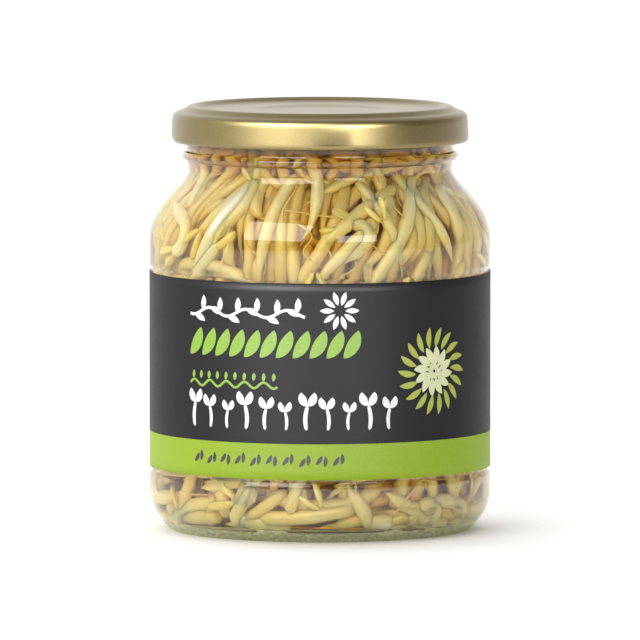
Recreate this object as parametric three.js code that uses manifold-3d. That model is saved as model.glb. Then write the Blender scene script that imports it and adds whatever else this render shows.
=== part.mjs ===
// A glass jar of bean sprouts in brine, closed by a metal lug cap and wrapped in a printed paper label.
// Millimetres, +Z up. The origin is the centre of the circle that the jar stands on, and the label faces -Y.
import * as THREE from "three";
import { mergeVertices } from "three/addons/utils/BufferGeometryUtils.js";
import Module from "manifold-3d";

const wasm = await Module();
wasm.setup();

// Driving dimensions.
const BODY_RADIUS = 40;
const WALL = 2.3;
const SHOULDER_START = 68;
const NECK_RADIUS = 30.9;
const NECK_HEIGHT = 85;
const RIM_TOP = 96.6;
const LID_TOP = 99.5;
const LID_RADIUS = 34.85;
const LABEL_LOW = 15;
const LABEL_HIGH = 60.7;
const BRINE_LEVEL = 92.4;
const GAP = 0.3;

// Every turned piece has the same number of sides and the same first side, so neighbours stay parallel.
const SIDES = 40;
const CORE_SIDES = 20;

function finish(color, roughness, more = {}) {
  return new THREE.MeshStandardMaterial({ color, roughness, ...more });
}

const GLASS = finish("#dfe9dc", 0.04, { transparent: true, opacity: 0.35 });
const GOLD = finish("#b7a573", 0.34, { metalness: 0.9 });
const PLASTISOL = finish("#e9e5d6", 0.6);
const PAPER = finish("#38363b", 0.45);
const LIQUID = finish("#c9a257", 0.05, { transparent: true, opacity: 0.4 });
const SPROUT = finish("#e2d39a", 0.4);

const degrees = THREE.MathUtils.degToRad;
const pair = (r, z) => new THREE.Vector2(r, z);

// A seeded draw: each call gives the next number from 0 to 1.
function seededDraw(seed) {
  let state = seed;
  return () => {
    state = (Math.imul(state, 1664525) + 1013904223) >>> 0;
    return state / 4294967296;
  };
}

const WELD = 0.001;

// A closed geometry as a solid to join or cut, with its meeting corners welded.
function solidOf(geometry) {
  const bare = geometry.clone();
  bare.deleteAttribute("normal");
  bare.deleteAttribute("uv");
  const merged = mergeVertices(bare, WELD);
  return new wasm.Manifold(
    new wasm.Mesh({
      numProp: 3,
      vertProperties: merged.attributes.position.array,
      triVerts: new Uint32Array(merged.index.array),
    }),
  );
}

// The largest body of a solid, without loose scraps and with sealed hollows filled.
function mainBody(solid) {
  const bodies = solid.decompose();
  return bodies.reduce((best, body) => (body.volume() > best.volume() ? body : best));
}

function geometryOf(solid) {
  const mesh = solid.getMesh();
  return new THREE.BufferGeometry()
    .setAttribute("position", new THREE.BufferAttribute(mesh.vertProperties, 3))
    .setIndex(new THREE.BufferAttribute(mesh.triVerts, 1));
}

function named(name, geometry, material) {
  const mesh = new THREE.Mesh(geometry, material);
  mesh.name = name;
  return mesh;
}

// Turns a profile of (radius, height) points about the Z axis.
function turned(points, sides = SIDES) {
  return new THREE.LatheGeometry(points, sides).rotateX(Math.PI / 2);
}

// Moves each vertex of a geometry by a rule that takes and gives a Vector3.
function reshaped(geometry, rule) {
  const position = geometry.attributes.position;
  const point = new THREE.Vector3();
  for (let i = 0; i < position.count; i++) {
    const moved = rule(point.fromBufferAttribute(position, i));
    position.setXYZ(i, moved.x, moved.y, moved.z);
  }
  return geometry;
}

// The jar's hollow, from the middle of the floor out and up to a height. inset moves its wall in.
const FLOOR_MIDDLE = 4.2;
const FLOOR_BEND = 3.8;
const FLOOR_EDGE = 3.4;
const HEEL_TOP = 9.6;
const INNER_RADIUS = BODY_RADIUS - WALL;
const INNER_NECK = NECK_RADIUS - WALL;

function hollowPath(inset, top) {
  const body = INNER_RADIUS - inset;
  const neck = INNER_NECK - inset;
  const path = new THREE.Path();
  path.moveTo(0, FLOOR_MIDDLE + inset);
  path.lineTo(20, FLOOR_BEND + inset);
  path.lineTo(33 - inset, FLOOR_EDGE + inset);
  path.quadraticCurveTo(body - 0.6, FLOOR_EDGE + inset, body, HEEL_TOP);
  path.lineTo(body, SHOULDER_START - 0.5);
  path.bezierCurveTo(body, SHOULDER_START + 8, neck, NECK_HEIGHT - 5.6, neck, NECK_HEIGHT - 0.6);
  path.lineTo(neck, top);
  return path;
}

// The glass: a pushed-up base on a flat ring, heel, label panel, shoulder, neck, handling bead and finish.
const STAND_INNER = 32.4;
const STAND_OUTER = 34.7;
const PUSH_UP = 2;
const BODY_LOW = 10.5;
const PANEL_RECESS = 0.55;
const PANEL_MARGIN = 1.6;
const BEAD_HEIGHT = 87.9;
const BEAD_ROUND = 1.15;
const FINISH_RADIUS = 31.2;

function glassProfile() {
  const outside = new THREE.Path();
  outside.moveTo(0, PUSH_UP);
  outside.lineTo(24, PUSH_UP - 0.5);
  outside.quadraticCurveTo(31, PUSH_UP - 0.8, STAND_INNER, 0);
  outside.lineTo(STAND_OUTER, 0);
  outside.lineTo(STAND_OUTER + 0.7, 0.4);
  outside.bezierCurveTo(38.6, 3.4, BODY_RADIUS, 5.4, BODY_RADIUS, BODY_LOW);
  outside.lineTo(BODY_RADIUS, LABEL_LOW - PANEL_MARGIN);
  outside.lineTo(BODY_RADIUS - PANEL_RECESS, LABEL_LOW - PANEL_MARGIN / 2);
  outside.lineTo(BODY_RADIUS - PANEL_RECESS, LABEL_HIGH + PANEL_MARGIN / 2);
  outside.lineTo(BODY_RADIUS, LABEL_HIGH + PANEL_MARGIN);
  outside.lineTo(BODY_RADIUS, SHOULDER_START);
  const [fullTo, narrowFrom] = [SHOULDER_START + 9.5, NECK_HEIGHT - 4.3];
  outside.bezierCurveTo(BODY_RADIUS, fullTo, NECK_RADIUS, narrowFrom, NECK_RADIUS, NECK_HEIGHT);
  outside.absarc(NECK_RADIUS + 0.25, BEAD_HEIGHT, BEAD_ROUND, degrees(-80), degrees(80), false);
  outside.lineTo(FINISH_RADIUS, BEAD_HEIGHT + 1.8);
  outside.lineTo(FINISH_RADIUS, RIM_TOP - 0.7);
  outside.quadraticCurveTo(FINISH_RADIUS, RIM_TOP, FINISH_RADIUS - 0.9, RIM_TOP);
  outside.lineTo(INNER_NECK + 0.7, RIM_TOP);
  const inside = hollowPath(0, RIM_TOP - 0.6).getPoints(4).reverse();
  return [...outside.getPoints(4), ...inside];
}

// Four ramps on the finish, whose undersides the cap's lugs hook under. Each rises anticlockwise.
const LUG_COUNT = 4;
const LUG_ANGLE = degrees(-85.5);
const THREAD_SPAN = degrees(63);
const THREAD_BEFORE_LUG = degrees(9);
const THREAD_LOW = 93;
const THREAD_RISE = 1.7;
const THREAD_ROOT = FINISH_RADIUS - 0.5;
const THREAD_CREST = 32.8;
const THREAD_STEPS = 7;

function threadRamp(start) {
  const ramp = new THREE.BoxGeometry(1, 1, 1, THREAD_STEPS, 1, 1);
  return reshaped(ramp, (p) => {
    const along = p.x + 0.5;
    const crest = p.y < 0;
    const ended = along < 0.01 || along > 0.99;
    const radius = crest ? THREAD_CREST - (ended ? 1.2 : 0) : THREAD_ROOT;
    const height = THREAD_LOW + THREAD_RISE * along + p.z * (crest ? 0.9 : 1.6);
    const angle = start + THREAD_SPAN * along;
    return new THREE.Vector3(radius * Math.cos(angle), radius * Math.sin(angle), height);
  });
}

function glass() {
  let made = solidOf(turned(glassProfile()));
  for (let i = 0; i < LUG_COUNT; i++) {
    const start = LUG_ANGLE - THREAD_BEFORE_LUG + (i * 2 * Math.PI) / LUG_COUNT;
    made = made.add(solidOf(threadRamp(start)));
  }
  return named("jar_glass", geometryOf(made), GLASS);
}

// The cap: one pressed sheet with a dished safety button, a raised ring, a skirt and a rolled hem.
const SHEET = 0.45;
const PANEL_TOP = LID_TOP - 0.9;
const BUTTON_DIP = 0.5;
const HEM_LOW = 91.1;
const HEM_HIGH = 92.7;
const LUG_REACH = 31.8;
const HEM_DENT = 0.7;

function capProfile() {
  const panel = [pair(0, PANEL_TOP - BUTTON_DIP), pair(13.5, PANEL_TOP - 0.4), pair(16.5, PANEL_TOP)];
  const ring = [pair(27.8, PANEL_TOP), pair(29.4, LID_TOP), pair(30.6, LID_TOP)];
  const step = [pair(32.2, LID_TOP - 1.05), pair(33.4, LID_TOP - 1.4)];
  const shoulder = [pair(34.25, LID_TOP - 1.9), pair(34.6, LID_TOP - 2.7)];
  const roll = [pair(LID_RADIUS, HEM_LOW + 0.9), pair(34.7, HEM_LOW + 0.3)];
  const hem = [...roll, pair(34.3, HEM_LOW), pair(33.8, HEM_LOW)];
  const curl = [pair(33.5, HEM_LOW + 0.3), pair(33.5, HEM_LOW + 0.9), pair(34.3, HEM_HIGH)];
  const outside = [...panel, ...ring, ...step, ...shoulder];
  const under = outside.map((p) => pair(Math.max(p.x - (p.x > 30 ? SHEET : 0), 0), p.y - SHEET));
  return [...under, ...[...outside, ...hem, ...curl].reverse()];
}

// The hem is pressed in at each lug: its inner side reaches under the ramps, and its outer side is dented.
function pressLugs(p) {
  const radius = Math.hypot(p.x, p.y);
  if (p.z > HEM_HIGH - 0.1 || radius < 33) return p;
  const turn = (2 * Math.PI) / LUG_COUNT;
  const past = Math.atan2(p.y, p.x) - LUG_ANGLE;
  const offset = THREE.MathUtils.euclideanModulo(past + turn / 2, turn) - turn / 2;
  if (Math.abs(offset) > degrees(5)) return p;
  const target = radius < 34 ? LUG_REACH + (p.z < HEM_LOW + 0.1 ? 0.5 : 0) : radius - HEM_DENT;
  return new THREE.Vector3((p.x * target) / radius, (p.y * target) / radius, p.z);
}

function cap() {
  return named("lid_cap", reshaped(turned(capProfile()), pressLugs), GOLD);
}

// The sealing ring that is flowed into the cap and pressed on the rim of the glass.
function liner() {
  const low = RIM_TOP + GAP;
  const flat = [pair(28.6, low), pair(31.6, low), pair(31.6, low + 0.9)];
  const crown = [pair(30.2, low + 1.6), pair(29.2, low + 1.6), pair(28.6, low + 1.3)];
  return named("lid_liner", turned([...flat, ...crown, flat[0]]), PLASTISOL);
}

// The wrap-round label, in the glass's recessed panel, with its glued lap at the back.
const LABEL_INNER = BODY_RADIUS - PANEL_RECESS + GAP;
const PAPER_THICK = 0.25;
const LAP_START = degrees(86);
const LAP_END = degrees(101);

function label() {
  const low = LABEL_LOW;
  const high = LABEL_HIGH;
  const outer = LABEL_INNER + PAPER_THICK;
  const section = [pair(LABEL_INNER, low), pair(outer, low), pair(outer, high), pair(LABEL_INNER, high)];
  const wrap = reshaped(turned([...section, section[0]]), (p) => {
    const angle = Math.atan2(p.y, p.x);
    const radius = Math.hypot(p.x, p.y);
    const lapped = angle > LAP_START && angle < LAP_END && radius > LABEL_INNER + 0.1;
    const scale = lapped ? (outer + PAPER_THICK) / radius : 1;
    return new THREE.Vector3(p.x * scale, p.y * scale, p.z);
  });
  return named("label", wrap, PAPER);
}

// Sprouts. Each has a tapering root and a thick white stem in one gentle bow, and some end in two seed leaves.
const STEM_RADIUS = 1.6;
const STEM_SIDES = 5;
const STEM_STEPS = 4;
const STEM_TRIES = 900;
const STEM_SPACING = 3.5;
const HIDDEN_SPACING = 6;
const OVER_SPACING = 15;
const OVER_DEPTH = 3.05;
const UNDER_DEPTH = 3.9;
const CORE_DEPTH = 4;
const CORE_TOP = 90.5;
const STEM_LOW = 7;
const STEM_HIGH = 89.5;
const FLOOR_STEMS = 8;
const TOP_STEMS = 6;
const SEED = 20;

// The hollow's radius at a height, from the corners of its path.
function hollowRadius(height) {
  const corners = hollowPath(0, RIM_TOP).getPoints(12).filter((p) => p.x > 24);
  const above = corners.findIndex((p) => p.y >= height);
  if (above < 1) return corners[0].x;
  const low = corners[above - 1];
  const high = corners[above];
  return THREE.MathUtils.mapLinear(height, low.y, high.y, low.x, high.x);
}

// Which way the stems lean on the wall: packed by hand, they lie in swathes, and slant either way at the bottom.
function lean(angle, height) {
  const swathe = degrees(68) + degrees(25) * Math.sin(5 * angle + degrees(240));
  const low = THREE.MathUtils.smoothstep(24 - height, 0, 16);
  return swathe + degrees(62) * low * Math.sign(Math.sin(7 * angle));
}

// The points of a wall sprout as (angle, height) pairs, from root to head.
function wallPoints(stem, steps) {
  return Array.from({ length: steps + 1 }, (_, k) => {
    const share = k / steps - 0.5;
    const slope = stem.slope + stem.bow * share;
    const height = stem.height + stem.length * share * Math.sin(slope);
    const around = (stem.length * share * Math.cos(slope)) / INNER_RADIUS;
    return [stem.angle + around, THREE.MathUtils.clamp(height, STEM_LOW, STEM_HIGH)];
  });
}

function apart(first, second) {
  const turn = 2 * Math.PI;
  const around = THREE.MathUtils.euclideanModulo(first[0] - second[0] + Math.PI, turn) - Math.PI;
  return Math.hypot(around * INNER_RADIUS, first[1] - second[1]);
}

// Draws sprouts one after another and keeps those that lie clear of the kept ones of their own layer.
function wallLayout() {
  const draw = seededDraw(SEED);
  const kept = [];
  for (let i = 0; i < STEM_TRIES; i++) {
    const angle = 2 * Math.PI * draw();
    const height = STEM_LOW + (STEM_HIGH - STEM_LOW) * draw();
    const stem = { angle, height, over: i % 3 === 0 };
    stem.slope = lean(angle, height) + degrees(30 * draw() - 15);
    stem.length = 30 + 22 * draw();
    stem.bow = degrees(60 * draw() - 30);
    stem.points = wallPoints(stem, 14);
    const hidden = height > LABEL_LOW + 8 && height < LABEL_HIGH - 8;
    const spacing = stem.over ? OVER_SPACING : hidden ? HIDDEN_SPACING : STEM_SPACING;
    const near = (other) =>
      other.over === stem.over && other.points.some((a) => stem.points.some((b) => apart(a, b) < spacing));
    if (!kept.some(near)) kept.push(stem);
  }
  return kept;
}

// The centre line of a sprout that lies along the wall.
function wallLine(stem) {
  const depth = stem.over ? OVER_DEPTH : UNDER_DEPTH;
  const points = wallPoints(stem, STEM_STEPS).map(([angle, height]) => {
    const radius = hollowRadius(height) - depth;
    return new THREE.Vector3(radius * Math.cos(angle), radius * Math.sin(angle), height);
  });
  return new THREE.CatmullRomCurve3(points);
}

// The centre line of a sprout that lies flat on the floor or on top of the mass, off the middle by an offset.
function flatLine(angle, offset, length, height, bow) {
  const along = new THREE.Vector3(Math.cos(angle), Math.sin(angle), 0);
  const across = new THREE.Vector3(-along.y, along.x, 0);
  const points = [-0.5, 0, 0.5].map((s) => {
    const point = new THREE.Vector3(0, 0, height).addScaledVector(along, s * length);
    return point.addScaledVector(across, offset + bow * s * s);
  });
  return new THREE.CatmullRomCurve3(points);
}

// A sprout's body: a turned spindle of root, stem and neck, bent along its centre line.
function sproutBody(line) {
  const shape = [[0, 0], [0.45, 0.01], [1, 0.3], [1, 0.64], [0.85, 0.97], [0, 1]];
  const spindle = new THREE.LatheGeometry(shape.map(([r, t]) => pair(r * STEM_RADIUS, t)), STEM_SIDES);
  const steps = 100;
  const frames = line.computeFrenetFrames(steps);
  return reshaped(spindle, (p) => {
    const at = Math.round(p.y * steps);
    const centre = line.getPointAt(p.y);
    return centre.addScaledVector(frames.binormals[at], p.x).addScaledVector(frames.normals[at], p.z);
  });
}

// The two seed leaves at the end of a sprout, side by side like an opening bean.
const LEAF = { length: 3.7, width: 1.6, thick: 1.5 };

function seedLeaves(line) {
  const tip = line.getPointAt(1);
  const along = line.getTangentAt(1);
  const outward = new THREE.Vector3(tip.x, tip.y, 0).normalize();
  const across = new THREE.Vector3().crossVectors(outward, along).normalize();
  const facing = new THREE.Vector3().crossVectors(along, across);
  return [-1, 1].map((side) => {
    const heading = along.clone().addScaledVector(across, 0.35 * side).normalize();
    const leaf = new THREE.IcosahedronGeometry(1, 0);
    return reshaped(leaf, (p) => {
      const centre = tip.clone().addScaledVector(heading, LEAF.length * 0.8);
      return centre
        .addScaledVector(across, 0.9 * side)
        .addScaledVector(heading, p.x * LEAF.length)
        .addScaledVector(across, p.y * LEAF.thick)
        .addScaledVector(facing, p.z * LEAF.width);
    });
  });
}

// All the sprouts' pieces and the packed heart of the mass that they lie on.
function sproutPieces() {
  const heart = hollowPath(CORE_DEPTH, CORE_TOP).getPoints(2);
  const pieces = [turned([...heart, pair(0, CORE_TOP)], CORE_SIDES)];
  for (const [i, stem] of wallLayout().entries()) {
    const line = wallLine(stem);
    pieces.push(sproutBody(line));
    if (stem.over && i % 2) pieces.push(...seedLeaves(line));
  }
  const draw = seededDraw(SEED + 1);
  for (let i = 0; i < FLOOR_STEMS + TOP_STEMS; i++) {
    const onFloor = i < FLOOR_STEMS;
    const reach = onFloor ? 26 : 18;
    const offset = reach * (draw() * 1.6 - 0.8);
    const length = 2 * Math.sqrt((reach + 3) ** 2 - offset ** 2) * 0.85;
    const height = onFloor ? FLOOR_MIDDLE + OVER_DEPTH : CORE_TOP + 0.6;
    pieces.push(sproutBody(flatLine(i * 2.4, offset, length, height, 6 * draw() - 3)));
  }
  return pieces;
}

// The space that the packed mass may fill, clear of the brine's film along the glass.
const BRINE_FILM = 0.95;
const MASS_TOP = 94;

function massSpace() {
  const space = hollowPath(BRINE_FILM + GAP, MASS_TOP).getPoints(4);
  return solidOf(turned([...space, pair(0, MASS_TOP)]));
}

function sprouts() {
  const mass = wasm.Manifold.union(sproutPieces().map(solidOf)).intersect(massSpace());
  return named("sprouts", geometryOf(mainBody(mass)), SPROUT);
}

// The brine stands round the sprouts up to its level. The mass stands in a plain hollow in it.
function brine() {
  const outside = hollowPath(GAP, BRINE_LEVEL).getPoints(4);
  const inside = hollowPath(BRINE_FILM, BRINE_LEVEL).getPoints(4);
  return named("brine", turned([...outside, ...inside.reverse()]), LIQUID);
}

const jar = new THREE.Group();
jar.add(glass(), label(), sprouts(), brine(), cap(), liner());

export default jar;
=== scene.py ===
"""A jar of bean sprouts in brine: glass, sprouts, brine, label, sealing ring and cap, on a pale floor."""

import math

import bpy
import numpy as np
from mathutils import Matrix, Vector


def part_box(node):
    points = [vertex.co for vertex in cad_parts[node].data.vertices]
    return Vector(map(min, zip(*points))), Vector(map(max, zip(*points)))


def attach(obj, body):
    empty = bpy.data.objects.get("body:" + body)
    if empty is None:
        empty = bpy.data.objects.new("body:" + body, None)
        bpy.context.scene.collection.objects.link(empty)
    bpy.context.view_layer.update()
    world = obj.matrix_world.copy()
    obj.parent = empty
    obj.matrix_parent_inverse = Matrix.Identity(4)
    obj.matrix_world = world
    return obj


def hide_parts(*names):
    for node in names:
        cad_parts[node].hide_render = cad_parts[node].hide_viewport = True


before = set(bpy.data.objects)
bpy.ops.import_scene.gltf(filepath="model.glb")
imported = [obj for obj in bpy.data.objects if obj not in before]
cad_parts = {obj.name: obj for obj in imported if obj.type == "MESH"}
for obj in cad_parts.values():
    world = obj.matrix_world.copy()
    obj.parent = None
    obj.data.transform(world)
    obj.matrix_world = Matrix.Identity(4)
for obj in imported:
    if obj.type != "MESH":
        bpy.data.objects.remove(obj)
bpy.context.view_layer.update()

# The glass jar is soda-lime glass, pressed and blown in a mould, and clear with a faint green where it is
# thick. Its mould leaves a knurled ring to stand on, a recessed panel for the label, a round bead under the
# cap, and ramps on the finish that the cap's lugs hook under.
BODY_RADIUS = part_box("jar_glass")[1][0] * 1000
RIM_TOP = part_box("jar_glass")[1][2] * 1000
WALL = 2.3
SHOULDER_START = 68.0
NECK_RADIUS = 30.9
NECK_HEIGHT = 85.0
STAND_INNER = 32.4
STAND_OUTER = 34.7
PUSH_UP = 2.0
BODY_LOW = 10.5
PANEL_RECESS = 0.5
PANEL_MARGIN = 1.6
BEAD_HEIGHT = 87.9
BEAD_ROUND = 1.15
FINISH_RADIUS = 31.2
FLOOR_MIDDLE = 4.2
FLOOR_BEND = 3.8
FLOOR_EDGE = 3.4
HEEL_TOP = 9.6
INNER_RADIUS = BODY_RADIUS - WALL
INNER_NECK = NECK_RADIUS - WALL
LABEL_LOW, LABEL_HIGH = (corner[2] * 1000 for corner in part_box("label"))
BRINE_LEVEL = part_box("brine")[1][2] * 1000
GLASS_SIDES = 384
GLASS_IOR = 1.52
BRINE_IOR = 1.34
KNURLS = 96
KNURL_DEPTH = 0.09
KNURL_HEIGHT = 1.3
KNURL_BAND = 2.3


def curve(start, leave, arrive, end, steps=14):
    """A cubic Bezier stretch: each point is the four given points' sum, weighted by the cubic's powers."""
    t = np.linspace(0, 1, steps)[:, None]
    weights = [(1 - t) ** 3, 3 * t * (1 - t) ** 2, 3 * t**2 * (1 - t), t**3]
    return sum(w * np.array(p, float) for w, p in zip(weights, (start, leave, arrive, end)))


def softened(outline, size, steps=4, least_turn=0.2):
    """Rounds an outline's corners: each gives way to a parabola that leaves its two sides size from it."""
    outline = np.array(outline, float)
    points = [outline[0]]
    t = np.linspace(0, 1, steps + 1)[:, None]
    for before, corner, after in zip(outline[:-2], outline[1:-1], outline[2:]):
        back, ahead = before - corner, after - corner
        long_back, long_ahead = np.hypot(*back), np.hypot(*ahead)
        turn = math.pi - math.acos(np.clip(back @ ahead / (long_back * long_ahead), -1, 1))
        if turn < least_turn:
            points.append(corner)
            continue
        first = corner + back * min(size / long_back, 0.4)
        last = corner + ahead * min(size / long_ahead, 0.4)
        points.extend((1 - t) ** 2 * first + 2 * t * (1 - t) * corner + t**2 * last)
    points.append(outline[-1])
    return np.array(points)


def eased(share):
    """A share from 0 to 1 with a gentle start and end: three times its square less twice its cube."""
    return share * share * (3 - 2 * share)


def placed(radius, angle, height):
    """Places round Z: (radius times cosine of the angle, radius times its sine, height)."""
    return np.stack(np.broadcast_arrays(radius * np.cos(angle), radius * np.sin(angle), height), -1)


def grid_faces(rows, columns, close_rows=False):
    """Quads of a grid whose columns close on themselves: vertex = row * columns + column."""
    row, column = np.meshgrid(np.arange(rows if close_rows else rows - 1), np.arange(columns), indexing="ij")
    here = row * columns
    above = (row + 1) % rows * columns
    beside = (column + 1) % columns
    return np.stack([here + column, here + beside, above + beside, above + column], -1).reshape(-1, 4)


def turned(outline, sides, ring=False):
    """Turns (radius, height) points about Z, placing each at even angles. An outline from axis to axis is
    closed by a pole at each end, and a ring's outline closes on itself."""
    outline = np.array(outline, float)
    angle = np.arange(sides) * 2 * np.pi / sides
    body = outline if ring else outline[1:-1]
    vertices = placed(body[:, :1], angle, body[:, 1:]).reshape(-1, 3)
    faces = grid_faces(len(body), sides, close_rows=ring).tolist()
    if not ring:
        low, high = len(vertices), len(vertices) + 1
        last = (len(body) - 1) * sides
        column = np.arange(sides)
        beside = (column + 1) % sides
        faces += np.stack([np.full(sides, low), beside, column], -1).tolist()
        faces += np.stack([np.full(sides, high), last + column, last + beside], -1).tolist()
        vertices = np.vstack([vertices, [0, 0, outline[0, 1]], [0, 0, outline[-1, 1]]])
    return vertices, faces


def made_piece(name, vertices, faces, materials, values=()):
    """A mesh object from millimetre vertices, shaded smooth, with a point attribute for each named value."""
    mesh = bpy.data.meshes.new(name)
    mesh.from_pydata((np.asarray(vertices) / 1000).tolist(), [], faces)
    for label, value in dict(values).items():
        mesh.attributes.new(label, "FLOAT", "POINT").data.foreach_set("value", np.asarray(value, np.float32))
    for material in materials:
        mesh.materials.append(material)
    mesh.shade_smooth()
    mesh.update()
    piece = bpy.data.objects.new(name, mesh)
    bpy.context.scene.collection.objects.link(piece)
    return piece


def joined(*parts):
    """Puts (vertices, faces) parts in one list of each, with the faces' numbers moved on."""
    vertices = np.vstack([part[0] for part in parts])
    starts = np.cumsum([0] + [len(part[0]) for part in parts[:-1]])
    faces = [[v + int(s) for v in face] for part, s in zip(parts, starts) for face in part[1]]
    return vertices, faces


def hollow_outline(inset, top, steps=14):
    """The hollow's section from the middle of its floor to a height in the neck, moved in by inset."""
    body, neck = INNER_RADIUS - inset, INNER_NECK - inset
    foot, edge = (33 - inset, FLOOR_EDGE + inset), (body - 0.6, FLOOR_EDGE + inset)
    from_foot = [(edge[i] * 2 + foot[i]) / 3 for i in (0, 1)]
    into_wall = [(edge[0] * 2 + body) / 3, (edge[1] * 2 + HEEL_TOP) / 3]
    heel = curve(foot, from_foot, into_wall, (body, HEEL_TOP), steps)
    low, high = SHOULDER_START - 0.5, NECK_HEIGHT - 0.6
    shoulder = curve((body, low), (body, low + 8.5), (neck, high - 5), (neck, high), steps)
    return np.vstack([[(0, FLOOR_MIDDLE + inset), (20, FLOOR_BEND + inset)], heel, shoulder, [(neck, top)]])


def glass_outline():
    """The section of the glass from the middle of its base, up over the rim, and down to its floor."""
    recessed = BODY_RADIUS - PANEL_RECESS
    base = [(0, PUSH_UP), (12, PUSH_UP - 0.15), (24, PUSH_UP - 0.5), (29.4, PUSH_UP - 1), (STAND_INNER, 0)]
    heel = curve((STAND_OUTER + 0.7, 0.4), (38.6, 3.4), (BODY_RADIUS, 5.4), (BODY_RADIUS, BODY_LOW))
    panel = [
        (BODY_RADIUS, LABEL_LOW - PANEL_MARGIN), (recessed, LABEL_LOW - PANEL_MARGIN / 2),
        (recessed, LABEL_HIGH + PANEL_MARGIN / 2), (BODY_RADIUS, LABEL_HIGH + PANEL_MARGIN),
    ]
    shoulder = curve(
        (BODY_RADIUS, SHOULDER_START), (BODY_RADIUS, SHOULDER_START + 9.5),
        (NECK_RADIUS, NECK_HEIGHT - 4.3), (NECK_RADIUS, NECK_HEIGHT), 30,
    )
    turn = np.radians(np.linspace(-80, 80, 14))
    bead_middle = np.array([NECK_RADIUS + 0.25, BEAD_HEIGHT])
    bead = bead_middle + BEAD_ROUND * np.stack([np.cos(turn), np.sin(turn)], -1)
    finish = [(FINISH_RADIUS, BEAD_HEIGHT + 1.8), (FINISH_RADIUS, RIM_TOP), (INNER_NECK, RIM_TOP)]
    inside = hollow_outline(0, RIM_TOP - 1, 24)[::-1]
    parts = [base, [(STAND_OUTER, 0)], heel, panel, shoulder, bead, finish, inside]
    return softened(np.vstack(parts), 0.55)


def knurled(vertices):
    """Cuts the standing ring's knurls: low down, the radius is less by a cosine of the angle."""
    radius = np.hypot(vertices[:, 0], vertices[:, 1])
    angle = np.arctan2(vertices[:, 1], vertices[:, 0])
    low = np.clip(1 - vertices[:, 2] / KNURL_HEIGHT, 0, 1) * (radius > STAND_INNER) * (vertices[:, 2] > 0.01)
    ripple = 1 - KNURL_DEPTH * low * (0.5 + 0.5 * np.cos(KNURLS * angle)) / np.maximum(radius, 1)
    return vertices * np.stack([ripple, ripple, np.ones_like(ripple)], -1)


THREAD_SPAN = math.radians(63)
THREAD_LOW = 93.0
THREAD_RISE = 1.7
THREAD_CREST = 32.8
LUG_COUNT = 4
LUG_ANGLE = math.radians(-85.5)
THREAD_START = LUG_ANGLE - math.radians(9)


def thread_ramp(start, steps=40, sides=14):
    """One ramp: an oval section carried along a rising arc, which shrinks to nothing at both ends."""
    along = np.linspace(0, 1, steps)[:, None]
    turn = np.arange(sides) * 2 * np.pi / sides
    size = np.clip(np.minimum(along, 1 - along) * 9, 0.02, 1) ** 0.5
    radius = FINISH_RADIUS - 0.3 + (THREAD_CREST - FINISH_RADIUS + 0.3) * size * np.cos(turn)
    height = THREAD_LOW + THREAD_RISE * along + 0.8 * size * np.sin(turn)
    vertices = placed(radius, start + THREAD_SPAN * along, height).reshape(-1, 3)
    faces = grid_faces(steps, sides)[:, ::-1].tolist()
    ends = [list(range(sides)), [(steps - 1) * sides + i for i in reversed(range(sides))]]
    return vertices, faces + ends


def linear(code, alpha=1.0):
    """A linear colour from an sRGB hex value, by the sRGB curve."""
    parts = [int(code[i : i + 2], 16) / 255 for i in (1, 3, 5)]
    return tuple(c / 12.92 if c <= 0.04045 else ((c + 0.055) / 1.055) ** 2.4 for c in parts) + (alpha,)


def add_node(tree, kind, inputs=None, stops=(), **settings):
    """Adds one node. Settings are its properties, inputs gives each socket a value, an output or a node whose
    first output it takes, and stops are the (place, hex) pairs of a colour ramp."""
    made = tree.nodes.new("ShaderNode" + kind)
    for name, value in settings.items():
        setattr(made, name, value)
    for name, value in (inputs or {}).items():
        value = value.outputs[0] if isinstance(value, bpy.types.Node) else value
        if isinstance(value, bpy.types.NodeSocket):
            tree.links.new(value, made.inputs[name])
        else:
            made.inputs[name].default_value = value
    for _ in range(len(stops) - 2):
        made.color_ramp.elements.new(1)
    for k, (place, code) in enumerate(stops):
        made.color_ramp.elements[k].position = place
        made.color_ramp.elements[k].color = linear(code)
    return made


def new_material(name):
    """An empty node material, its tree, and the place on the object, in metres, for its patterns."""
    material = bpy.data.materials.new(name)
    material.use_nodes = True
    tree = material.node_tree
    tree.nodes.clear()
    return material, tree, add_node(tree, "TexCoord").outputs["Object"]


def lamps_through(tree, shader, tint):
    """Mixes a clear shader with plain passage for lamp and diffuse light, so what is inside stays lit."""
    path = add_node(tree, "LightPath")
    kinds = {0: path.outputs["Is Shadow Ray"], 1: path.outputs["Is Diffuse Ray"]}
    either = add_node(tree, "Math", kinds, operation="MAXIMUM")
    through = add_node(tree, "BsdfTransparent", {"Color": tint})
    passed = {0: either, 1: shader, 2: through}
    return add_node(tree, "MixShader", passed)


def knurled_glass():
    """The same glass where the mould has cut it into fine knurls: its facets scatter light, pale green."""
    material, tree, place = new_material("soda_lime_glass_knurled")
    facets = add_node(tree, "TexNoise", {"Vector": place, "Scale": 1100.0, "Detail": 1.0})
    colour = add_node(tree, "ValToRGB", {"Fac": facets}, [(0.3, "#b3b981"), (0.7, "#eff2c6")])
    bump = add_node(tree, "Bump", {"Height": facets, "Distance": 0.0003, "Strength": 0.5})
    sockets = {"Base Color": colour, "Roughness": 0.3, "IOR": GLASS_IOR}
    sockets |= {"Transmission Weight": 0.5, "Normal": bump}
    scattering = add_node(tree, "BsdfPrincipled", sockets)
    clear = lamps_through(tree, scattering, linear("#e9efe0"))
    add_node(tree, "OutputMaterial", {"Surface": clear})
    return material


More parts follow.
